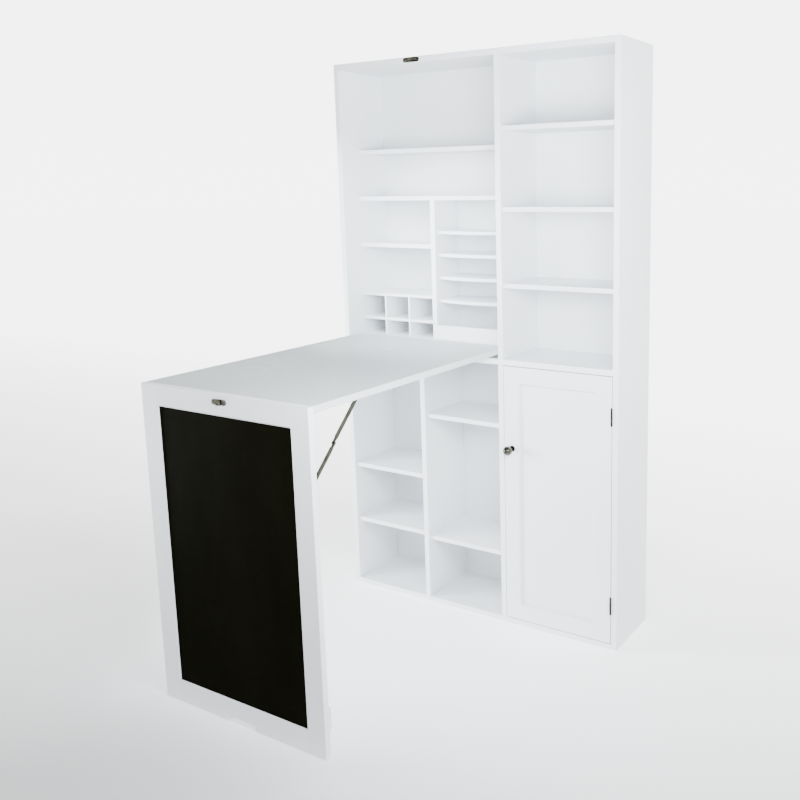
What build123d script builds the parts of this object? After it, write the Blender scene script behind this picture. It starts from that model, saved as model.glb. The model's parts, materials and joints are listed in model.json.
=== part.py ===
from build123d import *
import os

# Secretary desk: tall cabinet with open shelves and a cupboard, and a drop-front
# table whose framed chalkboard leg folds with it into the upper-left recess.
# Cabinet coordinates: X from the left outer face, Y from the front plane towards
# the wall, Z from the floor.  Every part is shifted to the common origin on saving.

# ---- overall sizes (mm) ----
CABINET_WIDTH = 850.0
CABINET_HEIGHT = 1500.0
CABINET_DEPTH = 195.0
BOARD = 15.0
SHELF = 12.0
EDGE = 0.8
SMALL_EDGE = 0.5
BACK_SHEET = 5.0
BACK_INSET = 2.0
MID_SHELF_TOP = 727.0
DESK_TOP = 753.0
DIVIDER_LEFT = 512.0
COLUMN_LEFT = 259.0
SHELF_SETBACK = 8.0
ORGANISER_FRONT = 70.0

# ---- shelf tops (mm above the floor) ----
WIDE_SHELF_TOPS = (1272.5, 1144.0)
NARROW_SHELF_TOP = 1013.0
RIGHT_SHELF_TOPS = (1315.0, 1116.0, 923.0)
LOWER_LEFT_TOPS = (373.5, 205.5)
LOWER_MIDDLE_TOPS = (551.5, 197.0)
CUPBOARD_SHELF_TOP = 382.0
CUPBOARD_SHELF_FRONT = 22.0

# ---- pigeon holes, letter shelves and lip ----
CUBBY_TOP = 870.5
CUBBY_MID = 801.0
CUBBY_SHELF = 8.0
CUBBY_DIVIDER = 6.0
CUBBY_DIVIDER_LEFTS = (92.0, 175.0)
LETTER_CENTRES = (1045.0, 983.0, 920.5, 856.5)
LETTER_THICKNESS = 9.0
LETTER_END_FRONT = 85.0
LETTER_MIDDLE_FRONT = 68.0
LIP_HEIGHT = 36.5
LIP_THICKNESS = 9.0

# ---- folding table ----
TABLE_GAP = 1.5
PIVOT_Y = 33.5
PIVOT_HALF = 7.5
PIVOT_PIN_RADIUS = 3.0
PIVOT_PIN_IN_SIDE = 10.0
PIVOT_PIN_IN_TABLE = 20.0
PIVOT_PIN_END_GAP = 0.5
RUNNING_CLEARANCE = 0.05
TABLE_REAR = 48.5
REAR_BOARD_FRONT = 51.5
LEG_FRONT = -703.5
LEG_TABLE_GAP = 0.5

# ---- leg frame and chalkboard ----
LEG_STILE = 51.0
LEG_TOP_RAIL = 48.0
LEG_BOTTOM_RAIL = 54.0
GROOVE_DEPTH = 6.0
CHALK_THICKNESS = 4.0
CHALK_RECESS = 4.0
LEG_BEVEL = 3.0
NOTCH_WIDTH = 84.0
NOTCH_HEIGHT = 13.0
NOTCH_RADIUS = 3.0
SPACER_SIZE = (38.0, 9.0, 50.0)
SPACER_BOTTOM = 59.0
SPACER_EDGE_GAP = 2.0

# ---- leg hinges ----
HINGE_OFFSET = 5.5
LEG_HINGE_WIDTH = 50.0
LEG_HINGE_LEAF = 28.0
LEG_HINGE_SHEET = 1.5
LEG_HINGE_RADIUS = 4.5
LEG_HINGE_PIN = 1.6
LEG_HINGE_FROM_EDGE = 75.0
LEG_HINGE_RELIEF = 0.3
KNUCKLE_GAP = 0.3

# ---- folding stays ----
STAY_REACH = 158.0
STAY_HALF_WIDTH = 4.6
STAY_NECK_HALF_WIDTH = 3.2
STAY_NECK = 14.0
STAY_ANGLE = 45.0
STAY_SHEET = 2.5
STAY_PLANE_GAP = 0.3
STAY_PIN_RADIUS = 1.5
STAY_HEAD_RADIUS = 3.0
STAY_HEAD_HEIGHT = 1.2
STAY_TABLE_EAR = 477.1
BRACKET_FLANGE = 11.0
BRACKET_LENGTH = 30.0
EAR_RADIUS = 4.6

# ---- turn latch ----
LATCH_HEIGHT = 1492.5
LATCH_PLATE = (50.0, 2.0, 12.0)
LATCH_BOSS_RADIUS = 5.5
LATCH_BOSS = 2.8
LATCH_PIN_RADIUS = 2.0
LATCH_HEAD_RADIUS = 3.6
LATCH_HEAD = 0.9
CAM_THICKNESS = 2.5
CAM_LENGTH = 20.0
CAM_ROUND = 5.5
CAM_TIP = 3.5
CAM_GAP = 0.2
KEEPER_PLATE = (42.0, 2.0, 12.0)
KEEPER_BOSS = (15.0, 2.5, 13.0)
KEEPER_BELOW_TOP = 10.0
SCREW_EAR_RADIUS = 6.0
SCREW_HOLE_RADIUS = 1.8

# ---- cupboard door ----
DOOR_SIDE_GAP = 1.5
DOOR_HINGE_GAP = 2.0
DOOR_END_GAP = 2.0
DOOR_FRAME = 46.0
DOOR_RECESS = 7.0
DOOR_BEVEL = 4.0
DOOR_PANEL = 6.0
DOOR_REBATE = 8.0
KNOB_HEIGHT = 492.0
KNOB_RADIUS = 12.0
KNOB_REACH = 24.0
KNOB_STEM_RADIUS = 3.8
KNOB_BASE_RADIUS = 8.0
KNOB_BASE = 2.0
DOOR_HINGE_CENTRES = (611.0, 120.0)
DOOR_HINGE_HEIGHT = 43.0
DOOR_HINGE_SHEET = 0.9
DOOR_HINGE_RADIUS = 2.5
DOOR_HINGE_PIN = 1.2
DOOR_HINGE_LEAF = 14.0
DOOR_HINGE_RELIEF = 0.2
DOOR_HINGE_CAP = 1.6
DOOR_HINGE_CAP_RADIUS = 2.1
CATCH_SIZE = (13.0, 34.0, 42.0)
CATCH_BOTTOM = 636.0
STRIKE_SIZE = (14.0, 1.0, 36.0)
STRIKE_EDGE_GAP = 2.0
CATCH_GAP = 0.3

# ---- wall bumpers ----
BUMPER_RADIUS = 6.0
BUMPER_THICKNESS = 3.0
BUMPER_HEIGHT = 57.0

# ---- positions worked out from the sizes ----
LEFT_IN = BOARD
RIGHT_IN = CABINET_WIDTH - BOARD
DIVIDER_RIGHT = DIVIDER_LEFT + BOARD
COLUMN_RIGHT = COLUMN_LEFT + BOARD
TOP_IN = CABINET_HEIGHT - BOARD
MID_SHELF_UNDER = MID_SHELF_TOP - BOARD
BACK_OUT = CABINET_DEPTH - BACK_INSET
BACK_IN = BACK_OUT - BACK_SHEET
DESK_UNDER = DESK_TOP - BOARD
PIVOT_Z = DESK_UNDER + PIVOT_HALF
TABLE_LEFT = LEFT_IN + TABLE_GAP
TABLE_RIGHT = DIVIDER_LEFT - TABLE_GAP
TABLE_MIDDLE = (TABLE_LEFT + TABLE_RIGHT) / 2
LEG_BACK = LEG_FRONT + BOARD
TABLE_FRONT = LEG_BACK + LEG_TABLE_GAP
HINGE_Y = LEG_BACK + HINGE_OFFSET
HINGE_Z = DESK_UNDER - HINGE_OFFSET
STAY_TABLE_Y = HINGE_Y + STAY_REACH
STAY_LEG_Z = HINGE_Z - STAY_REACH
ELBOW_Y = (HINGE_Y + STAY_TABLE_Y) / 2
ELBOW_Z = (HINGE_Z + STAY_LEG_Z) / 2
DOOR_LEFT = DIVIDER_RIGHT + DOOR_SIDE_GAP
DOOR_RIGHT = RIGHT_IN - DOOR_HINGE_GAP
DOOR_BOTTOM = BOARD + DOOR_END_GAP
DOOR_TOP = MID_SHELF_UNDER - DOOR_END_GAP
DOOR_HINGE_X = (DOOR_RIGHT + RIGHT_IN) / 2
FRONT_LIMIT = LEG_FRONT - KEEPER_PLATE[1] - KEEPER_BOSS[1]
BACK_LIMIT = CABINET_DEPTH + BUMPER_THICKNESS
TO_ORIGIN = Pos(-CABINET_WIDTH / 2, -(FRONT_LIMIT + BACK_LIMIT) / 2, 0)

os.makedirs("parts", exist_ok=True)


def save(name, *solids):
    """Write one node, moved to the common origin."""
    moved = [TO_ORIGIN * solid for solid in solids]
    shape = moved[0] if len(moved) == 1 else Compound(children=moved)
    shape.label = name
    export_step(shape, "parts/" + name + ".step")


def block(x, y, z):
    """Box between three (low, high) pairs."""
    box = Box(x[1] - x[0], y[1] - y[0], z[1] - z[0])
    return Pos((x[0] + x[1]) / 2, (y[0] + y[1]) / 2, (z[0] + z[1]) / 2) * box


def board(x, y, z, edge=EDGE):
    """Painted board with softened edges."""
    plain = block(x, y, z)
    return fillet(plain.edges(), edge)


def rod_x(x, y, z, radius):
    """Cylinder along X between x[0] and x[1]."""
    rod = Cylinder(radius, x[1] - x[0], rotation=(0, 90, 0))
    return Pos((x[0] + x[1]) / 2, y, z) * rod


def rod_y(x, y, z, radius):
    """Cylinder along Y between y[0] and y[1]."""
    rod = Cylinder(radius, y[1] - y[0], rotation=(90, 0, 0))
    return Pos(x, (y[0] + y[1]) / 2, z) * rod


def rod_z(x, y, z, radius):
    """Cylinder along Z between z[0] and z[1]."""
    return Pos(x, y, (z[0] + z[1]) / 2) * Cylinder(radius, z[1] - z[0])


def bevel(x, z, y_front, size):
    """Cutter that bevels the front edges of a window spanning x and z."""
    centre = ((x[0] + x[1]) / 2, (z[0] + z[1]) / 2)
    sections = []
    for grow, y in ((size, y_front), (0, y_front + size)):
        plane = Plane(origin=(centre[0], y, centre[1]), x_dir=(1, 0, 0), z_dir=(0, 1, 0))
        sections.append(plane * Rectangle(x[1] - x[0] + 2 * grow, z[1] - z[0] + 2 * grow))
    return loft(sections)


def about_table_middle(x):
    """Mirror an (low, high) X pair in the table's middle plane."""
    return (2 * TABLE_MIDDLE - x[1], 2 * TABLE_MIDDLE - x[0])


def sides(x):
    """An X pair at the right of the table and its mirror at the left."""
    return (about_table_middle(x), x)


# ---- carcass ----
FULL_DEPTH = (0, CABINET_DEPTH)
TO_BACK = (0, BACK_IN)
ACROSS = (LEFT_IN, RIGHT_IN)
LOWER_BAY = (BOARD, MID_SHELF_UNDER)
UPPER_BAY = (MID_SHELF_TOP, TOP_IN)

side_height = (BOARD, TOP_IN)
left_hole = rod_x((LEFT_IN - PIVOT_PIN_IN_SIDE, LEFT_IN), PIVOT_Y, PIVOT_Z,
                  PIVOT_PIN_RADIUS + RUNNING_CLEARANCE)
save("left_side_panel", board((0, LEFT_IN), FULL_DEPTH, side_height) - left_hole)
save("right_side_panel", board((RIGHT_IN, CABINET_WIDTH), FULL_DEPTH, side_height))
save("top_panel", board((0, CABINET_WIDTH), FULL_DEPTH, (TOP_IN, CABINET_HEIGHT)))
save("bottom_panel", board((0, CABINET_WIDTH), FULL_DEPTH, (0, BOARD)))
save("mid_shelf", board(ACROSS, TO_BACK, (MID_SHELF_UNDER, MID_SHELF_TOP)))

divider_x = (DIVIDER_LEFT, DIVIDER_RIGHT)
right_hole = rod_x((DIVIDER_LEFT, DIVIDER_LEFT + PIVOT_PIN_IN_SIDE), PIVOT_Y, PIVOT_Z,
                   PIVOT_PIN_RADIUS + RUNNING_CLEARANCE)
save("upper_divider", board(divider_x, TO_BACK, UPPER_BAY) - right_hole)
save("lower_divider", board(divider_x, TO_BACK, LOWER_BAY))
save("lower_column_divider", board((COLUMN_LEFT, COLUMN_RIGHT), TO_BACK, LOWER_BAY))

back_split = (MID_SHELF_UNDER + MID_SHELF_TOP) / 2
save("back_panel_upper", block(ACROSS, (BACK_IN, BACK_OUT), (back_split, TOP_IN)))
save("back_panel_lower", block(ACROSS, (BACK_IN, BACK_OUT), (BOARD, back_split)))

# ---- fixed rear part of the desk surface ----
LEFT_BAY = (LEFT_IN, DIVIDER_LEFT)
save("desk_rear_board", board(LEFT_BAY, (REAR_BOARD_FRONT, BACK_IN), (DESK_UNDER, DESK_TOP)))

# ---- upper-left shelves ----
ORGANISER_DEPTH = (ORGANISER_FRONT, BACK_IN)
NARROW_BAY = (LEFT_IN, COLUMN_LEFT)
for number, top in enumerate(WIDE_SHELF_TOPS, start=1):
    save("upper_left_shelf_" + str(number), board(LEFT_BAY, ORGANISER_DEPTH, (top - SHELF, top)))
save("upper_left_shelf_3",
     board(NARROW_BAY, ORGANISER_DEPTH, (NARROW_SHELF_TOP - SHELF, NARROW_SHELF_TOP)))
wide_under = WIDE_SHELF_TOPS[1] - SHELF
save("organiser_divider",
     board((COLUMN_LEFT, COLUMN_RIGHT), ORGANISER_DEPTH, (DESK_TOP, wide_under)))

# ---- pigeon holes: shelf and dividers halved into each other ----
lap_y = (ORGANISER_FRONT + BACK_IN) / 2
cubby_mid_z = (CUBBY_MID - CUBBY_SHELF, CUBBY_MID)
cubby_shelf = board(NARROW_BAY, ORGANISER_DEPTH, cubby_mid_z, SMALL_EDGE)
cubby_under = CUBBY_TOP - CUBBY_SHELF
for name, left in zip(("left", "right"), CUBBY_DIVIDER_LEFTS):
    slot_x = (left, left + CUBBY_DIVIDER)
    cubby_shelf = cubby_shelf - block(slot_x, (lap_y, BACK_IN + BOARD), cubby_mid_z)
    upright = board(slot_x, ORGANISER_DEPTH, (DESK_TOP, cubby_under), SMALL_EDGE)
    upright = upright - block(slot_x, (0, lap_y), cubby_mid_z)
    save("cubby_divider_" + name, upright)
save("cubby_mid_shelf", cubby_shelf)
save("cubby_top_shelf", board(NARROW_BAY, ORGANISER_DEPTH, (cubby_under, CUBBY_TOP), SMALL_EDGE))

# ---- letter shelves with a bowed front, and the lip below them ----
LETTER_BAY = (COLUMN_RIGHT, DIVIDER_LEFT)
letter_middle = (COLUMN_RIGHT + DIVIDER_LEFT) / 2
corners = [
    (COLUMN_RIGHT, LETTER_END_FRONT),
    (COLUMN_RIGHT, BACK_IN),
    (DIVIDER_LEFT, BACK_IN),
    (DIVIDER_LEFT, LETTER_END_FRONT),
]
outline = Polyline(*corners)
bow = ThreePointArc(corners[-1], (letter_middle, LETTER_MIDDLE_FRONT), corners[0])
letter_face = make_face(outline + bow)
for number, centre in enumerate(LETTER_CENTRES, start=1):
    sheet = extrude(letter_face, amount=LETTER_THICKNESS)
    sheet = fillet(sheet.edges().filter_by(GeomType.CIRCLE), EDGE)
    save("letter_shelf_" + str(number), Pos(0, 0, centre - LETTER_THICKNESS / 2) * sheet)
lip_y = (ORGANISER_FRONT, ORGANISER_FRONT + LIP_THICKNESS)
save("organiser_lip", board(LETTER_BAY, lip_y, (DESK_TOP, DESK_TOP + LIP_HEIGHT)))

# ---- right-hand and lower shelves ----
SHELF_DEPTH = (SHELF_SETBACK, BACK_IN)
RIGHT_BAY = (DIVIDER_RIGHT, RIGHT_IN)
for number, top in enumerate(RIGHT_SHELF_TOPS, start=1):
    save("upper_right_shelf_" + str(number), board(RIGHT_BAY, SHELF_DEPTH, (top - SHELF, top)))
for number, top in enumerate(LOWER_LEFT_TOPS, start=1):
    save("lower_left_shelf_" + str(number), board(NARROW_BAY, SHELF_DEPTH, (top - SHELF, top)))
for number, top in enumerate(LOWER_MIDDLE_TOPS, start=1):
    save("lower_middle_shelf_" + str(number), board(LETTER_BAY, SHELF_DEPTH, (top - SHELF, top)))
save("cupboard_shelf", board(RIGHT_BAY, (CUPBOARD_SHELF_FRONT, BACK_IN),
                             (CUPBOARD_SHELF_TOP - SHELF, CUPBOARD_SHELF_TOP)))

# ---- wall bumpers ----
bumper_y = (CABINET_DEPTH, BACK_LIMIT)
save("wall_bumpers",
     rod_y(LEFT_IN / 2, bumper_y, BUMPER_HEIGHT, BUMPER_RADIUS),
     rod_y(CABINET_WIDTH - BOARD / 2, bumper_y, BUMPER_HEIGHT, BUMPER_RADIUS))

# ---- table top and its pivot pins ----
TABLE_X = (TABLE_LEFT, TABLE_RIGHT)
table = board(TABLE_X, (TABLE_FRONT, TABLE_REAR), (DESK_UNDER, DESK_TOP))
pin_pairs = (
    (LEFT_IN - PIVOT_PIN_IN_SIDE, TABLE_LEFT + PIVOT_PIN_IN_TABLE),
    (TABLE_RIGHT - PIVOT_PIN_IN_TABLE, DIVIDER_LEFT + PIVOT_PIN_IN_SIDE),
)
pins = []
for pair in pin_pairs:
    table = table - rod_x(pair, PIVOT_Y, PIVOT_Z, PIVOT_PIN_RADIUS + RUNNING_CLEARANCE)
for pair in ((pin_pairs[0][0], pin_pairs[0][1] - PIVOT_PIN_END_GAP),
             (pin_pairs[1][0] + PIVOT_PIN_END_GAP, pin_pairs[1][1])):
    pins.append(rod_x(pair, PIVOT_Y, PIVOT_Z, PIVOT_PIN_RADIUS))
save("tabletop", table)
save("tabletop_pivot_pins", *pins)

# ---- leg frame with the chalkboard in grooves ----
LEG_Y = (LEG_FRONT, LEG_BACK)
stile_in_left = TABLE_LEFT + LEG_STILE
stile_in_right = TABLE_RIGHT - LEG_STILE
rail_under = DESK_TOP - LEG_TOP_RAIL
chalk_front = LEG_FRONT + CHALK_RECESS
chalk = block((stile_in_left - GROOVE_DEPTH, stile_in_right + GROOVE_DEPTH),
              (chalk_front, chalk_front + CHALK_THICKNESS),
              (LEG_BOTTOM_RAIL - GROOVE_DEPTH, rail_under + GROOVE_DEPTH))
RAIL_X = (stile_in_left, stile_in_right)
chalk_cut = chalk + bevel(RAIL_X, (LEG_BOTTOM_RAIL, rail_under), LEG_FRONT, LEG_BEVEL)
save("leg_left_stile", board((TABLE_LEFT, stile_in_left), LEG_Y, (0, DESK_TOP)) - chalk_cut)
save("leg_right_stile", board((stile_in_right, TABLE_RIGHT), LEG_Y, (0, DESK_TOP)) - chalk_cut)
save("leg_top_rail", board(RAIL_X, LEG_Y, (rail_under, DESK_TOP)) - chalk_cut)
notch_x = (TABLE_MIDDLE - NOTCH_WIDTH / 2, TABLE_MIDDLE + NOTCH_WIDTH / 2)
notch = block(notch_x, (LEG_FRONT - BOARD, LEG_BACK + BOARD), (-NOTCH_HEIGHT, NOTCH_HEIGHT))
notch = fillet(notch.edges().filter_by(Axis.Y), NOTCH_RADIUS)
save("leg_bottom_rail", board(RAIL_X, LEG_Y, (0, LEG_BOTTOM_RAIL)) - chalk_cut - notch)
save("chalkboard_panel", chalk)

spacer_right = TABLE_RIGHT - SPACER_EDGE_GAP
spacers = []
for pair in sides((spacer_right - SPACER_SIZE[0], spacer_right)):
    spacers.append(board(pair, (LEG_BACK, LEG_BACK + SPACER_SIZE[1]),
                         (SPACER_BOTTOM, SPACER_BOTTOM + SPACER_SIZE[2])))
save("leg_spacer_blocks", *spacers)

# ---- butt hinges between table top and leg ----
third = LEG_HINGE_WIDTH / 3
hinge_right = TABLE_RIGHT - LEG_HINGE_FROM_EDGE
relief = LEG_HINGE_RADIUS + LEG_HINGE_RELIEF
table_leaves = []
leg_leaves = []
for pair in sides((hinge_right - LEG_HINGE_WIDTH, hinge_right)):
    knuckles = (
        (pair[0], pair[0] + third - KNUCKLE_GAP),
        (pair[0] + third, pair[1] - third),
        (pair[1] - third + KNUCKLE_GAP, pair[1]),
    )
    leaf = block(pair, (HINGE_Y + relief, HINGE_Y + LEG_HINGE_LEAF),
                 (DESK_UNDER - LEG_HINGE_SHEET, DESK_UNDER))
    for knuckle in (knuckles[0], knuckles[2]):
        leaf = leaf + rod_x(knuckle, HINGE_Y, HINGE_Z, LEG_HINGE_RADIUS)
        leaf = leaf + block(knuckle, (HINGE_Y, HINGE_Y + relief),
                            (DESK_UNDER - LEG_HINGE_SHEET, DESK_UNDER))
    leaf = leaf + rod_x(pair, HINGE_Y, HINGE_Z, LEG_HINGE_PIN)
    table_leaves.append(leaf)
    leaf = block(pair, (LEG_BACK, LEG_BACK + LEG_HINGE_SHEET),
                 (HINGE_Z - LEG_HINGE_LEAF, HINGE_Z - relief))
    leaf = leaf + rod_x(knuckles[1], HINGE_Y, HINGE_Z, LEG_HINGE_RADIUS)
    leaf = leaf + block(knuckles[1], (LEG_BACK, LEG_BACK + LEG_HINGE_SHEET),
                        (HINGE_Z - relief, HINGE_Z))
    leaf = leaf - rod_x(pair, HINGE_Y, HINGE_Z, LEG_HINGE_PIN + RUNNING_CLEARANCE)
    leg_leaves.append(leaf)
save("leg_hinge_table_leaves", *table_leaves)
save("leg_hinge_leg_leaves", *leg_leaves)

# ---- folding stays: two arms and two brackets on each side ----
PLANE_STEP = STAY_SHEET + STAY_PLANE_GAP
ear_plane = (STAY_TABLE_EAR, STAY_TABLE_EAR + STAY_SHEET)
upper_plane = (ear_plane[0] + PLANE_STEP, ear_plane[1] + PLANE_STEP)
lower_plane = (upper_plane[0] + PLANE_STEP, upper_plane[1] + PLANE_STEP)
leg_ear_plane = (lower_plane[0] + PLANE_STEP, lower_plane[1] + PLANE_STEP)


def bar(plane, start, end, half_width):
    """Flat bar with round ends between two (Y, Z) points."""
    side = Plane(origin=(plane[0], 0, 0), x_dir=(0, 1, 0), z_dir=(1, 0, 0))
    length = ((end[0] - start[0]) ** 2 + (end[1] - start[1]) ** 2) ** 0.5
    middle = ((start[0] + end[0]) / 2, (start[1] + end[1]) / 2)
    shape = SlotCenterToCenter(length, 2 * half_width)
    placed = side * Pos(middle[0], middle[1]) * Rot(0, 0, STAY_ANGLE) * shape
    return extrude(placed, amount=plane[1] - plane[0])


def arm(plane, pivot, elbow):
    """Stay arm that narrows to a neck just before its elbow."""
    length = ((elbow[0] - pivot[0]) ** 2 + (elbow[1] - pivot[1]) ** 2) ** 0.5
    share = 1 - STAY_NECK / length
    shoulder = (pivot[0] + (elbow[0] - pivot[0]) * share, pivot[1] + (elbow[1] - pivot[1]) * share)
    return bar(plane, pivot, shoulder, STAY_HALF_WIDTH) + bar(plane, pivot, elbow, STAY_NECK_HALF_WIDTH)


U_POINT = (STAY_TABLE_Y, HINGE_Z)
V_POINT = (HINGE_Y, STAY_LEG_Z)
E_POINT = (ELBOW_Y, ELBOW_Z)
BORE = STAY_PIN_RADIUS + RUNNING_CLEARANCE


def both(right_shape):
    """The right-hand solid and its mirror at the left, left one first."""
    return (mirror(right_shape, about=Plane.YZ.offset(TABLE_MIDDLE)), right_shape)


upper = arm(upper_plane, U_POINT, E_POINT)
upper = upper - rod_x(upper_plane, U_POINT[0], U_POINT[1], BORE)
upper = upper + rod_x((upper_plane[0] - STAY_HEAD_HEIGHT, upper_plane[1]),
                      E_POINT[0], E_POINT[1], STAY_HEAD_RADIUS)
lower = arm(lower_plane, V_POINT, E_POINT)
lower = lower - rod_x(lower_plane, V_POINT[0], V_POINT[1], BORE)
lower = lower + rod_x((lower_plane[0], lower_plane[1] + STAY_HEAD_HEIGHT),
                      E_POINT[0], E_POINT[1], STAY_HEAD_RADIUS)
for name, upper_side, lower_side in zip(("left", "right"), both(upper), both(lower)):
    save("stay_upper_arm_" + name, upper_side)
    save("stay_lower_arm_" + name, lower_side)

table_ear = rod_x(ear_plane, U_POINT[0], U_POINT[1], EAR_RADIUS)
table_ear = table_ear + block(ear_plane, (U_POINT[0] - EAR_RADIUS, U_POINT[0] + EAR_RADIUS),
                              (HINGE_Z, DESK_UNDER))
flange_x = (ear_plane[1] - BRACKET_FLANGE, ear_plane[1])
half_length = BRACKET_LENGTH / 2
table_ear = table_ear + block(flange_x, (U_POINT[0] - half_length, U_POINT[0] + half_length),
                              (DESK_UNDER - STAY_HEAD_HEIGHT, DESK_UNDER))
table_ear = table_ear + rod_x((ear_plane[0], upper_plane[1]), U_POINT[0], U_POINT[1],
                              STAY_PIN_RADIUS)
table_ear = table_ear + rod_x((ear_plane[0] - STAY_HEAD_HEIGHT, ear_plane[0]),
                              U_POINT[0], U_POINT[1], STAY_HEAD_RADIUS)
save("stay_table_brackets", *both(table_ear))

leg_ear = rod_x(leg_ear_plane, V_POINT[0], V_POINT[1], EAR_RADIUS)
leg_ear = leg_ear + block(leg_ear_plane, (LEG_BACK, HINGE_Y),
                          (V_POINT[1] - EAR_RADIUS, V_POINT[1] + EAR_RADIUS))
flange_x = (leg_ear_plane[0], leg_ear_plane[0] + BRACKET_FLANGE)
leg_ear = leg_ear + block(flange_x, (LEG_BACK, LEG_BACK + STAY_HEAD_HEIGHT),
                          (V_POINT[1] - half_length, V_POINT[1] + half_length))
leg_ear = leg_ear + rod_x((lower_plane[0], leg_ear_plane[1]), V_POINT[0], V_POINT[1],
                          STAY_PIN_RADIUS)
leg_ear = leg_ear + rod_x((leg_ear_plane[1], leg_ear_plane[1] + STAY_HEAD_HEIGHT),
                          V_POINT[0], V_POINT[1], STAY_HEAD_RADIUS)
save("stay_leg_brackets", *both(leg_ear))

# ---- turn latch on the top panel and its keeper on the leg ----


def eared_plate(size, x, y_back, z):
    """Thin plate with a round screw ear at each end, standing proud of y_back."""
    y = (y_back - size[1], y_back)
    ear_x = size[0] / 2 - SCREW_EAR_RADIUS
    plate = block((x - ear_x, x + ear_x), y, (z - size[2] / 2, z + size[2] / 2))
    for side in (-ear_x, ear_x):
        plate = plate + rod_y(x + side, y, z, size[2] / 2)
    for side in (-ear_x, ear_x):
        plate = plate - rod_y(x + side, y, z, SCREW_HOLE_RADIUS)
    return plate


plate_front = -LATCH_PLATE[1]
boss_front = plate_front - LATCH_BOSS
cam_back = boss_front - CAM_GAP
cam_front = cam_back - CAM_THICKNESS
head_back = cam_front - CAM_GAP
latch = eared_plate(LATCH_PLATE, TABLE_MIDDLE, 0, LATCH_HEIGHT)
latch = latch + rod_y(TABLE_MIDDLE, (boss_front, 0), LATCH_HEIGHT, LATCH_BOSS_RADIUS)
latch = latch + rod_y(TABLE_MIDDLE, (head_back, 0), LATCH_HEIGHT, LATCH_PIN_RADIUS)
latch = latch + rod_y(TABLE_MIDDLE, (head_back - LATCH_HEAD, head_back), LATCH_HEIGHT,
                      LATCH_HEAD_RADIUS)
save("latch_base", latch)

cam_y = (cam_front, cam_back)
tip_x = TABLE_MIDDLE + CAM_LENGTH - CAM_TIP
cam = rod_y(TABLE_MIDDLE, cam_y, LATCH_HEIGHT, CAM_ROUND)
cam = cam + rod_y(tip_x, cam_y, LATCH_HEIGHT, CAM_TIP)
cam = cam + block((TABLE_MIDDLE, tip_x), cam_y, (LATCH_HEIGHT - CAM_TIP, LATCH_HEIGHT + CAM_TIP))
cam = cam - rod_y(TABLE_MIDDLE, cam_y, LATCH_HEIGHT, LATCH_PIN_RADIUS + RUNNING_CLEARANCE)
save("latch_cam", cam)

keeper_z = DESK_TOP - KEEPER_BELOW_TOP - KEEPER_BOSS[2] / 2
keeper = eared_plate(KEEPER_PLATE, TABLE_MIDDLE, LEG_FRONT, keeper_z)
boss_x = (TABLE_MIDDLE - KEEPER_BOSS[0] / 2, TABLE_MIDDLE + KEEPER_BOSS[0] / 2)
boss = block(boss_x, (FRONT_LIMIT, LEG_FRONT),
             (keeper_z - KEEPER_BOSS[2] / 2, keeper_z + KEEPER_BOSS[2] / 2))
boss = fillet(boss.edges().filter_by(Axis.Y), KEEPER_BOSS[2] / 4)
save("latch_keeper", keeper + boss)

# ---- cupboard door ----
door_x = (DOOR_LEFT, DOOR_RIGHT)
door_z = (DOOR_BOTTOM, DOOR_TOP)
window_x = (DOOR_LEFT + DOOR_FRAME, DOOR_RIGHT - DOOR_FRAME)
window_z = (DOOR_BOTTOM + DOOR_FRAME, DOOR_TOP - DOOR_FRAME)
rebate_x = (window_x[0] - DOOR_REBATE, window_x[1] + DOOR_REBATE)
rebate_z = (window_z[0] - DOOR_REBATE, window_z[1] + DOOR_REBATE)
frame = board(door_x, (0, BOARD), door_z)
frame = frame - block(window_x, (-BOARD, BOARD), window_z)
frame = frame - bevel(window_x, window_z, 0, DOOR_BEVEL)
frame = frame - block(rebate_x, (DOOR_RECESS, BOARD), rebate_z)
save("door_frame", frame)
save("door_panel", block(rebate_x, (DOOR_RECESS, DOOR_RECESS + DOOR_PANEL), rebate_z))

knob_x = DOOR_LEFT + DOOR_FRAME / 2
knob = Pos(knob_x, -KNOB_REACH, KNOB_HEIGHT) * Sphere(KNOB_RADIUS)
knob = knob + rod_y(knob_x, (-KNOB_REACH, 0), KNOB_HEIGHT, KNOB_STEM_RADIUS)
knob_foot = rod_y(knob_x, (-KNOB_BASE, 0), KNOB_HEIGHT, KNOB_BASE_RADIUS)
save("door_knob", knob + knob_foot)

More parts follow.
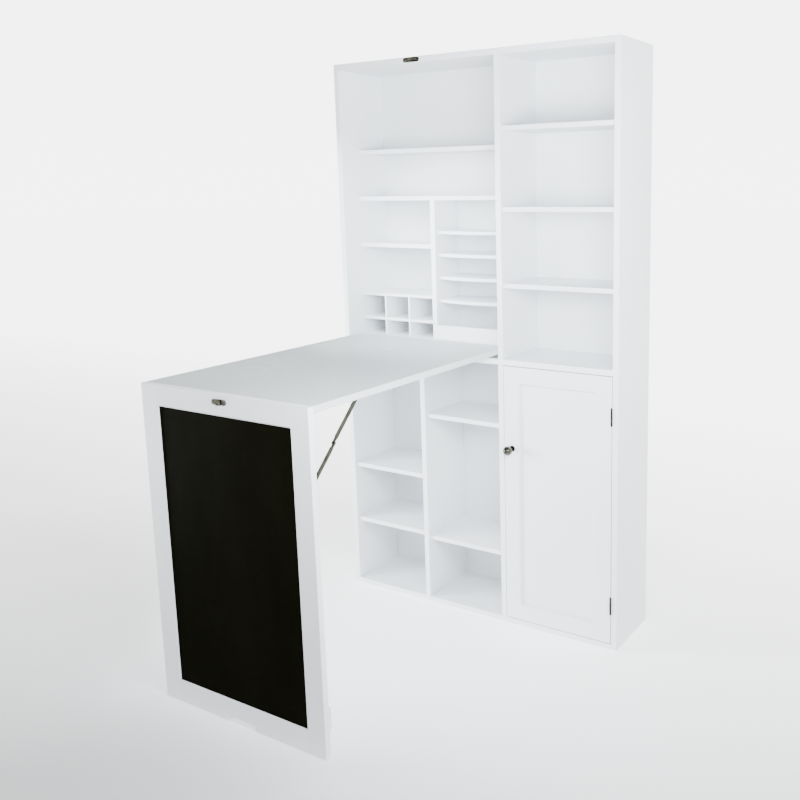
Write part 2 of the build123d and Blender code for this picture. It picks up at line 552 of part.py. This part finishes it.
third = DOOR_HINGE_HEIGHT / 3
barrel_y = -DOOR_HINGE_RADIUS
door_leaf_x = (DOOR_RIGHT, DOOR_RIGHT + DOOR_HINGE_SHEET)
side_leaf_x = (RIGHT_IN - DOOR_HINGE_SHEET, RIGHT_IN)
leaf_y = (DOOR_HINGE_RELIEF, DOOR_HINGE_LEAF)
neck_y = (barrel_y, DOOR_HINGE_RELIEF)
door_leaves = []
side_leaves = []
for centre in DOOR_HINGE_CENTRES:
    low = centre - DOOR_HINGE_HEIGHT / 2
    high = centre + DOOR_HINGE_HEIGHT / 2
    middle_z = (low + third, high - third)
    end_zs = ((low, low + third - KNUCKLE_GAP), (high - third + KNUCKLE_GAP, high))
    leaf = block(door_leaf_x, leaf_y, (low, high))
    leaf = leaf + block(door_leaf_x, neck_y, middle_z)
    leaf = leaf + rod_z(DOOR_HINGE_X, barrel_y, middle_z, DOOR_HINGE_RADIUS)
    leaf = leaf - rod_z(DOOR_HINGE_X, barrel_y, middle_z, DOOR_HINGE_PIN + RUNNING_CLEARANCE)
    door_leaves.append(leaf)
    leaf = block(side_leaf_x, leaf_y, (low, high))
    for end_z in end_zs:
        leaf = leaf + block(side_leaf_x, neck_y, end_z)
        leaf = leaf + rod_z(DOOR_HINGE_X, barrel_y, end_z, DOOR_HINGE_RADIUS)
    leaf = leaf + rod_z(DOOR_HINGE_X, barrel_y, (low, high), DOOR_HINGE_PIN)
    for cap_z in ((low - DOOR_HINGE_CAP, low), (high, high + DOOR_HINGE_CAP)):
        leaf = leaf + rod_z(DOOR_HINGE_X, barrel_y, cap_z, DOOR_HINGE_CAP_RADIUS)
    side_leaves.append(leaf)
save("door_hinge_door_leaves", *door_leaves)
save("door_hinge_side_leaves", *side_leaves)

# ---- magnetic catch on the divider and strike plate on the door ----
strike_x = (DOOR_LEFT + STRIKE_EDGE_GAP, DOOR_LEFT + STRIKE_EDGE_GAP + STRIKE_SIZE[0])
strike_z = CATCH_BOTTOM + (CATCH_SIZE[2] - STRIKE_SIZE[2]) / 2
strike_back = BOARD + STRIKE_SIZE[1]
save("door_strike", block(strike_x, (BOARD, strike_back), (strike_z, strike_z + STRIKE_SIZE[2])))
catch_front = strike_back + CATCH_GAP
save("door_catch", board((DIVIDER_RIGHT, DIVIDER_RIGHT + CATCH_SIZE[0]),
                         (catch_front, catch_front + CATCH_SIZE[1]),
                         (CATCH_BOTTOM, CATCH_BOTTOM + CATCH_SIZE[2])))
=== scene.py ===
import json
import math

import bmesh
import bpy
from mathutils import Euler, Matrix, Vector


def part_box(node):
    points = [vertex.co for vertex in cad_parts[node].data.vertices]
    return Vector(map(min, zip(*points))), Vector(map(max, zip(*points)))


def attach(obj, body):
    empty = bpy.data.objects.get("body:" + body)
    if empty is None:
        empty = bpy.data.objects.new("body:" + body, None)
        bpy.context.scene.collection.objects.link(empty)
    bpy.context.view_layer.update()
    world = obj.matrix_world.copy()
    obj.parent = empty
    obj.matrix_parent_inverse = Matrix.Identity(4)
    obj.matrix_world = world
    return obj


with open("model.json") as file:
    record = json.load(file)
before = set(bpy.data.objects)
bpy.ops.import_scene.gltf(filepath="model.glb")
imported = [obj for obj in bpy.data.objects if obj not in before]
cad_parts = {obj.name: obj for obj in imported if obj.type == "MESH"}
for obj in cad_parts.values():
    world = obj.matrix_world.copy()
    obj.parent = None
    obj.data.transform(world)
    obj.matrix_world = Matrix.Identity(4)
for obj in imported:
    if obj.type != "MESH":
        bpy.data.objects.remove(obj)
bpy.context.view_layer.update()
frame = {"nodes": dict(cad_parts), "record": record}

MM = 0.001

# ---------------------------------------------------------------- texture sizes
# Noise scales, in noise cells for each metre of the object.
DRIFT_SCALE = 2.3
SHEEN_SCALE = 9.0
FLECK_SCALE = 260.0
PEEL_SCALE = 520.0
WIPE_SCALE = 3.2
CHALK_GRAIN_SCALE = 900.0
PLATING_SCALE = 70.0
RUBBING_SCALE = 160.0
CATCH_GRAIN_SCALE = 420.0
RUBBER_GRAIN_SCALE = 500.0

# How far the noise is stretched along X, Y and Z: a smaller number gives longer marks.
SHEEN_STRETCH = (1.0, 1.0, 0.35)
WIPE_STRETCH = (3.0, 1.0, 1.1)
RUBBING_STRETCH = (1.0, 14.0, 1.0)

# Bump heights.
PEEL_HEIGHT = 0.25 * MM
GRAIN_HEIGHT = 0.2 * MM
RUBBING_HEIGHT = 0.1 * MM

# ---------------------------------------------------------------- colour ramps
# Each stop is a position on the noise and the grey or colour there.
PAINT_SPECKS = [(0.26, 0.955), (0.36, 1.0)]
CHALK_HAZE = [(0.42, (0.0019, 0.0018, 0.0)), (0.78, (0.0030, 0.0028, 0.0003))]
CHALK_SPECKS = [(0.3, 0.8), (0.7, 1.15)]
CHALK_ROUGHNESS = [(0.3, 0.8), (0.8, 0.68)]
KNEE_SIDE_PRIMER = [(0.3, (0.775, 0.797, 0.818)), (0.8, (0.805, 0.826, 0.847))]

# ---------------------------------------------------------------- screws
SCREW_SIDES = 20
# Rings of a domed head from foot to crown, as shares of its radius and height.
SCREW_DOME = ((1.0, 0.0), (1.0, 0.25), (0.86, 0.62), (0.62, 0.86), (0.34, 0.98))
RECESS_LONG = 0.58
RECESS_ACROSS = 0.1
RECESS_DEEP = 0.14
RECESS_AT = 0.97

# Head radius and head height of the two kinds of screw.
PLATE_SCREW = (3.0 * MM, 1.3 * MM)
BRACKET_SCREW = (2.4 * MM, 0.9 * MM)

LATCH_SCREW_REACH = 19 * MM
KEEPER_SCREW_REACH = 15 * MM
PLATE_THICKNESS = 2 * MM
FLANGE_THICKNESS = 1.2 * MM
FLANGE_SCREW_IN = 6.2 * MM
FLANGE_SCREW_FROM_END = 4.5 * MM
TO_FRONT = (0, -1, 0)
TO_BACK = (0, 1, 0)
DOWN = (0, 0, -1)

# ---------------------------------------------------------------- room
FLOOR_HALF = 40.0
FLOOR_DROP = 0.5 * MM
FLOOR_TONE = [(0.3, 0.90), (0.7, 0.92)]
FLOOR_TONE_SCALE = 1.2
FLOOR_GLOW = 5.2
# The floor glows more with its depth behind the desk, and less in a round hollow before it.
DIM = (0.36, 0.362, 0.366)
HALF_LIT = (0.6, 0.602, 0.607)
LIT = (0.97, 0.974, 0.98)
DEPTH_PER_METRE = 0.15
DEPTH_MIDDLE = 0.5
FLOOR_DEPTH = [(0.0, DIM), (0.5, DIM), (0.66, HALF_LIT), (0.9, LIT)]
HOLLOW_PER_METRE = 0.42
HOLLOW_FORWARD = 0.5
FLOOR_HOLLOW = [(0.0, 1.0), (0.3, 0.75), (0.75, 0.15)]

# The sky is bright near the horizon and darker overhead, and brighter behind the desk than in front.
SKY_HEIGHT = [(0.0, 1.0), (0.19, 0.98), (0.32, 0.2), (0.8, 0.08)]
SKY_DEPTH = [(0.0, DIM), (0.4, DIM), (0.68, LIT)]
SKY_STRENGTH = 6.0

# Soft lights: name, place, point aimed at, width and height, watts, spread in degrees.
LIGHT_COLOUR = (0.9, 0.96, 1.0)
LIGHTS = (
    ("side_key", (1.6, -1.0, 1.0), (0.0, 0.4, 0.75), (1.2, 1.0), 5.0, 180.0),
    ("cabinet_fill", (0.72, -0.6, 1.12), (0.0, 0.35, 1.12), (0.8, 0.4), 42.0, 180.0),
    ("bay_fill", (-0.22, 0.02, 1.22), (-0.12, 0.45, 0.82), (0.5, 0.3), 3.1, 100.0),
    ("low_fill", (-0.95, -0.4, 0.62), (-0.1, 0.15, 0.4), (0.5, 0.5), 11.0, 95.0),
)

# ---------------------------------------------------------------- camera
CAMERA_PLACE = (1.2796, -1.6968, 1.1706)
CAMERA_ANGLES = (79.975, 0.861, 31.123)
CAMERA_LENS = 40.49
CAMERA_SHIFT = (-0.125, -0.07)
SENSOR_WIDTH = 36.0
CLIP_NEAR = 0.05
CLIP_FAR = 200.0


# ---------------------------------------------------------------- node helpers
def new_material(name):
    """A new node material: itself, its tree, its shader and its texture coordinates."""
    mat = bpy.data.materials.new(name)
    mat.use_nodes = True
    tree = mat.node_tree
    shader = tree.nodes["Principled BSDF"]
    coords = tree.nodes.new("ShaderNodeTexCoord")
    return mat, tree, shader, coords.outputs


def stretched(tree, vector, scale, offset=(0.0, 0.0, 0.0)):
    """The coordinates stretched by scale along X, Y and Z, then moved by offset."""
    mapping = tree.nodes.new("ShaderNodeMapping")
    mapping.inputs["Location"].default_value = offset
    mapping.inputs["Scale"].default_value = scale
    tree.links.new(vector, mapping.inputs["Vector"])
    return mapping.outputs["Vector"]


def noise(tree, vector, scale, detail=3.0, rough=0.55):
    """Noise between 0 and 1 at the given coordinates."""
    node = tree.nodes.new("ShaderNodeTexNoise")
    node.inputs["Scale"].default_value = scale
    node.inputs["Detail"].default_value = detail
    node.inputs["Roughness"].default_value = rough
    tree.links.new(vector, node.inputs["Vector"])
    return node.outputs["Fac"]


def ramp(tree, fac, stops):
    """Colour ramp through (position, grey or colour) stops."""
    node = tree.nodes.new("ShaderNodeValToRGB")
    points = node.color_ramp.elements
    while len(points) < len(stops):
        points.new(0.5)
    for point, (position, colour) in zip(points, stops):
        if not isinstance(colour, tuple):
            colour = (colour, colour, colour)
        point.position = position
        point.color = (*colour, 1.0)
    tree.links.new(fac, node.inputs["Fac"])
    return node.outputs["Color"]


def mixed(tree, fac, a, b, mode="MIX"):
    """Two colours blended by fac."""
    node = tree.nodes.new("ShaderNodeMix")
    node.data_type = "RGBA"
    node.blend_type = mode
    for name, value in (("Factor", fac), ("A", a), ("B", b)):
        socket = [s for s in node.inputs if s.name == name and s.enabled][0]
        if isinstance(value, float):
            socket.default_value = value
        else:
            tree.links.new(value, socket)
    return [s for s in node.outputs if s.enabled][0]


def split(tree, vector):
    """The X, Y and Z outputs of a vector."""
    node = tree.nodes.new("ShaderNodeSeparateXYZ")
    tree.links.new(vector, node.inputs["Vector"])
    return node.outputs


def bumped(tree, shader, height, strength, distance):
    """Bumps the shader's surface by a height texture."""
    node = tree.nodes.new("ShaderNodeBump")
    node.inputs["Strength"].default_value = strength
    node.inputs["Distance"].default_value = distance
    tree.links.new(height, node.inputs["Height"])
    tree.links.new(node.outputs["Normal"], shader.inputs["Normal"])


# ---------------------------------------------------------------- materials
def paint(name, light, dark, rough, peel=0.12, gloss=0.4):
    """Satin sprayed paint on fibreboard: faint tone drift, specks, uneven sheen and orange peel."""
    mat, tree, shader, coords = new_material(name)
    where = coords["Object"]
    tone = ramp(tree, noise(tree, where, DRIFT_SCALE, 2.0), [(0.3, dark), (0.7, light)])
    specks = ramp(tree, noise(tree, where, FLECK_SCALE, 2.0), PAINT_SPECKS)
    tree.links.new(mixed(tree, 1.0, tone, specks, "MULTIPLY"), shader.inputs["Base Color"])
    sheen = noise(tree, stretched(tree, where, SHEEN_STRETCH), SHEEN_SCALE, 4.0)
    tree.links.new(ramp(tree, sheen, [(0.25, rough - 0.06), (0.75, rough + 0.07)]),
                   shader.inputs["Roughness"])
    bumped(tree, shader, noise(tree, where, PEEL_SCALE, 2.0), peel, PEEL_HEIGHT)
    shader.inputs["Specular IOR Level"].default_value = gloss
    return mat


def chalk():
    """Matte olive-black board paint with wiped chalk haze; the face towards the knees is white."""
    mat, tree, shader, coords = new_material("chalkboard_paint")
    where = coords["Object"]
    wipe = noise(tree, stretched(tree, where, WIPE_STRETCH), WIPE_SCALE, 5.0, 0.6)
    grain = noise(tree, where, CHALK_GRAIN_SCALE, 2.0)
    board = mixed(tree, 1.0, ramp(tree, wipe, CHALK_HAZE), ramp(tree, grain, CHALK_SPECKS), "MULTIPLY")
    primer = ramp(tree, wipe, KNEE_SIDE_PRIMER)
    knee_side = tree.nodes.new("ShaderNodeMath")
    knee_side.operation = "GREATER_THAN"
    knee_side.inputs[1].default_value = 0.5
    tree.links.new(split(tree, coords["Normal"])["Y"], knee_side.inputs[0])
    tree.links.new(mixed(tree, knee_side.outputs[0], board, primer), shader.inputs["Base Color"])
    tree.links.new(ramp(tree, wipe, CHALK_ROUGHNESS), shader.inputs["Roughness"])
    bumped(tree, shader, grain, 0.3, GRAIN_HEIGHT)
    shader.inputs["Specular IOR Level"].default_value = 0.02
    return mat


def plated(name, light, dark, rough):
    """Plated metal with fine rubbing marks and dull spots."""
    mat, tree, shader, coords = new_material(name)
    where = coords["Object"]
    cloud = noise(tree, where, PLATING_SCALE)
    tree.links.new(ramp(tree, cloud, [(0.35, dark), (0.7, light)]), shader.inputs["Base Color"])
    rubbed = noise(tree, stretched(tree, where, RUBBING_STRETCH), RUBBING_SCALE)
    tree.links.new(ramp(tree, rubbed, [(0.3, rough - 0.08), (0.7, rough + 0.12)]),
                   shader.inputs["Roughness"])
    bumped(tree, shader, rubbed, 0.15, RUBBING_HEIGHT)
    shader.inputs["Metallic"].default_value = 1.0
    return mat


def moulded(name, light, dark, rough, grain_scale):
    """Moulded plastic or rubber with a fine grain."""
    mat, tree, shader, coords = new_material(name)
    grain = noise(tree, coords["Object"], grain_scale)
    tree.links.new(ramp(tree, grain, [(0.3, dark), (0.7, light)]), shader.inputs["Base Color"])
    tree.links.new(ramp(tree, grain, [(0.3, rough), (0.7, rough + 0.1)]), shader.inputs["Roughness"])
    bumped(tree, shader, grain, 0.2, GRAIN_HEIGHT)
    return mat


# Each material: name, lighter colour, darker colour, roughness, then what that kind needs.
SLOT_MATERIALS = {
    "painted_board": paint("white_satin_paint", (0.812, 0.832, 0.855), (0.785, 0.804, 0.828), 0.36),
    # The back sheet has its own rougher, less glossy finish with less orange peel, and its tone is a
    # little darker than the boards' as painted shade for the inside of the cabinet.
    "back_sheet": paint("back_sheet_finish_and_painted_shade", (0.775, 0.80, 0.815), (0.748, 0.772, 0.788), 0.48,
                        peel=0.06, gloss=0.3),
    "chalkboard": chalk(),
    "knob_metal": plated("knob_dark_nickel", (0.12, 0.118, 0.09), (0.03, 0.029, 0.021), 0.15),
    "hinge_metal": plated("hinge_dark_nickel", (0.045, 0.045, 0.038), (0.02, 0.02, 0.016), 0.32),
    "latch_metal": plated("latch_dark_nickel", (0.15, 0.146, 0.115), (0.014, 0.0135, 0.009), 0.16),
    "stay_metal": plated("stay_grey_steel", (0.062, 0.061, 0.046), (0.032, 0.031, 0.022), 0.33),
    "pin_steel": plated("plain_steel", (0.6, 0.6, 0.58), (0.45, 0.45, 0.44), 0.3),
    "catch_plastic": moulded("catch_white_plastic", (0.78, 0.78, 0.76), (0.72, 0.72, 0.7), 0.45,
                             CATCH_GRAIN_SCALE),
    "bumper_rubber": moulded("bumper_grey_rubber", (0.34, 0.34, 0.335), (0.27, 0.27, 0.265), 0.7,
                             RUBBER_GRAIN_SCALE),
}
# The tabletop's paint is a darker copy of the white board paint: painted shade for its top face, which
# gets less light than the fronts.
TABLE_SHADED_PAINT = paint("table_paint_painted_shade", (0.597, 0.628, 0.634), (0.572, 0.603, 0.609), 0.3,
                    peel=0.1, gloss=0.005)
RECESS_SHADOW = plated("screw_recess_shadow", (0.05, 0.048, 0.042), (0.02, 0.02, 0.018), 0.6)

slots = {part["node"]: part["material_slot"] for part in frame["record"]["subparts"]}
# The tabletop takes the darker copy of the white paint, which is painted shade; every other node takes
# its slot's material.
for name, node in frame["nodes"].items():
    node.data.materials.clear()
    node.data.materials.append(TABLE_SHADED_PAINT if name == "tabletop" else SLOT_MATERIALS[slots[name]])


# ---------------------------------------------------------------- small screws
def screw_mesh(name, radius, height):
    """A domed head with a cross recess, standing on its local +Z."""
    bm = bmesh.new()
    rings = []
    for share_r, share_h in SCREW_DOME:
        ring = []
        for i in range(SCREW_SIDES):
            turn = 2 * math.pi * i / SCREW_SIDES
            ring.append(bm.verts.new((radius * share_r * math.cos(turn),
                                      radius * share_r * math.sin(turn), height * share_h)))
        rings.append(ring)
    for low, high in zip(rings, rings[1:]):
        for i in range(SCREW_SIDES):
            k = (i + 1) % SCREW_SIDES
            bm.faces.new((low[i], low[k], high[k], high[i]))
    bm.faces.new(rings[-1])
    bm.faces.new(list(reversed(rings[0])))
    head = len(bm.faces)
    middle = Matrix.Translation((0, 0, height * RECESS_AT))
    for long_x, long_y in ((RECESS_LONG, RECESS_ACROSS), (RECESS_ACROSS, RECESS_LONG)):
        size = (2 * radius * long_x, 2 * radius * long_y, height * RECESS_DEEP, 1.0)
        bmesh.ops.create_cube(bm, size=1.0, matrix=middle @ Matrix.Diagonal(size))
    mesh = bpy.data.meshes.new(name)
    bm.to_mesh(mesh)
    bm.free()
    for face in mesh.polygons:
        face.use_smooth = face.index < head
        face.material_index = 0 if face.index < head else 1
    return mesh


def add_screw(name, place, direction, body, slot, size, turn):
    """One screw at a place, its head facing a direction and its cross turned by some radians."""
    mesh = screw_mesh(name, *size)
    mesh.materials.append(SLOT_MATERIALS[slot])
    mesh.materials.append(RECESS_SHADOW)
    obj = bpy.data.objects.new(name, mesh)
    bpy.context.scene.collection.objects.link(obj)
    aim = Vector(direction).to_track_quat("Z", "Y").to_matrix().to_4x4()
    obj.matrix_world = Matrix.Translation(place) @ aim @ Matrix.Rotation(turn, 4, "Z")
    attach(obj, body)


def plate_screws(prefix, node, body, reach, turn):
    """A screw in each ear of a latch plate, reach away from its middle."""
    low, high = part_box(node)
    centre = (low + high) / 2
    for i, side in enumerate((-1, 1)):
        place = (centre.x + side * reach, high.y - PLATE_THICKNESS, centre.z)
        add_screw(f"{prefix}_screw_{i + 1}", place, TO_FRONT, body, "latch_metal", PLATE_SCREW, turn + i)


plate_screws("latch", "latch_base", "cabinet", LATCH_SCREW_REACH, 0.4)
plate_screws("keeper", "latch_keeper", "leg", KEEPER_SCREW_REACH, 0.9)

low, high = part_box("stay_leg_brackets")
for side, x in (("left", low.x + FLANGE_SCREW_IN), ("right", high.x - FLANGE_SCREW_IN)):
    for i, z in enumerate((low.z + FLANGE_SCREW_FROM_END, high.z - FLANGE_SCREW_FROM_END)):
        add_screw(f"stay_leg_screw_{side}_{i + 1}", (x, low.y + FLANGE_THICKNESS, z), TO_BACK,
                  "leg", "stay_metal", BRACKET_SCREW, 0.3 + i)

low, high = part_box("stay_table_brackets")
for side, x in (("left", low.x + FLANGE_SCREW_IN), ("right", high.x - FLANGE_SCREW_IN)):
    for i, y in enumerate((low.y + FLANGE_SCREW_FROM_END, high.y - FLANGE_SCREW_FROM_END)):
        add_screw(f"stay_table_screw_{side}_{i + 1}", (x, y, high.z - FLANGE_THICKNESS), DOWN,
                  "table", "stay_metal", BRACKET_SCREW, 0.7 + i)


# ---------------------------------------------------------------- floor and sky
def floor_material():
    """Pale matte floor with a soft glow of its own, so that it stays even and pale."""
    mat, tree, shader, coords = new_material("studio_floor")
    where = coords["Object"]
    tree.links.new(ramp(tree, noise(tree, where, FLOOR_TONE_SCALE, 2.0), FLOOR_TONE),
                   shader.inputs["Base Color"])
    shader.inputs["Roughness"].default_value = 0.9
    shader.inputs["Specular IOR Level"].default_value = 0.1
    depth = stretched(tree, where, (DEPTH_PER_METRE,) * 3, (DEPTH_MIDDLE, DEPTH_MIDDLE, 0.0))
    ball = tree.nodes.new("ShaderNodeTexGradient")
    ball.gradient_type = "SPHERICAL"
    tree.links.new(stretched(tree, where, (HOLLOW_PER_METRE,) * 3, (0.0, HOLLOW_FORWARD, 0.0)),
                   ball.inputs["Vector"])
    glow = mixed(tree, 1.0, ramp(tree, split(tree, depth)["Y"], FLOOR_DEPTH),
                 ramp(tree, ball.outputs["Fac"], FLOOR_HOLLOW), "MULTIPLY")
    tree.links.new(glow, shader.inputs["Emission Color"])
    shader.inputs["Emission Strength"].default_value = FLOOR_GLOW
    return mat


def add_floor():
    """A wide floor just under the object's lowest point."""
    mesh = bpy.data.meshes.new("studio_floor")
    corners = [(x * FLOOR_HALF, y * FLOOR_HALF, 0) for x, y in ((-1, -1), (1, -1), (1, 1), (-1, 1))]
    mesh.from_pydata(corners, [], [(0, 1, 2, 3)])
    mesh.materials.append(floor_material())
    floor = bpy.data.objects.new("studio_floor", mesh)
    floor.location.z = -FLOOR_DROP
    bpy.context.scene.collection.objects.link(floor)


def add_sky():
    """A plain pale sky that changes with height and with depth."""
    world = bpy.data.worlds.new("studio_world")
    world.use_nodes = True
    tree = world.node_tree
    background = tree.nodes["Background"]
    direction = split(tree, tree.nodes.new("ShaderNodeTexCoord").outputs["Generated"])
    depth = tree.nodes.new("ShaderNodeMath")
    depth.operation = "MULTIPLY_ADD"
    depth.inputs[1].default_value = 0.5
    depth.inputs[2].default_value = 0.5
    tree.links.new(direction["Y"], depth.inputs[0])
    colour = mixed(tree, 1.0, ramp(tree, direction["Z"], SKY_HEIGHT),
                   ramp(tree, depth.outputs[0], SKY_DEPTH), "MULTIPLY")
    tree.links.new(colour, background.inputs["Color"])
    background.inputs["Strength"].default_value = SKY_STRENGTH
    bpy.context.scene.world = world


# ---------------------------------------------------------------- lights and camera
def area_light(name, place, target, size, power, spread):
    """A soft rectangular light that the camera doesn't see."""
    data = bpy.data.lights.new(name, "AREA")
    data.shape = "RECTANGLE"
    data.size, data.size_y = size
    data.energy = power
    data.spread = math.radians(spread)
    data.color = LIGHT_COLOUR
    lamp = bpy.data.objects.new(name, data)
    lamp.visible_camera = False
    lamp.location = place
    lamp.rotation_mode = "QUATERNION"
    lamp.rotation_quaternion = (Vector(target) - Vector(place)).to_track_quat("-Z", "Y")
    bpy.context.scene.collection.objects.link(lamp)


def add_camera():
    """The camera, a little above the desk's writing height and to its front right."""
    data = bpy.data.cameras.new("photo_camera")
    data.sensor_width = SENSOR_WIDTH
    data.lens = CAMERA_LENS
    data.shift_x, data.shift_y = CAMERA_SHIFT
    data.clip_start = CLIP_NEAR
    data.clip_end = CLIP_FAR
    camera = bpy.data.objects.new("photo_camera", data)
    turn = Euler([math.radians(angle) for angle in CAMERA_ANGLES], "XYZ")
    camera.matrix_world = Matrix.Translation(CAMERA_PLACE) @ turn.to_matrix().to_4x4()
    bpy.context.scene.collection.objects.link(camera)
    bpy.context.scene.camera = camera


add_floor()
add_sky()
for light in LIGHTS:
    area_light(*light)
add_camera()
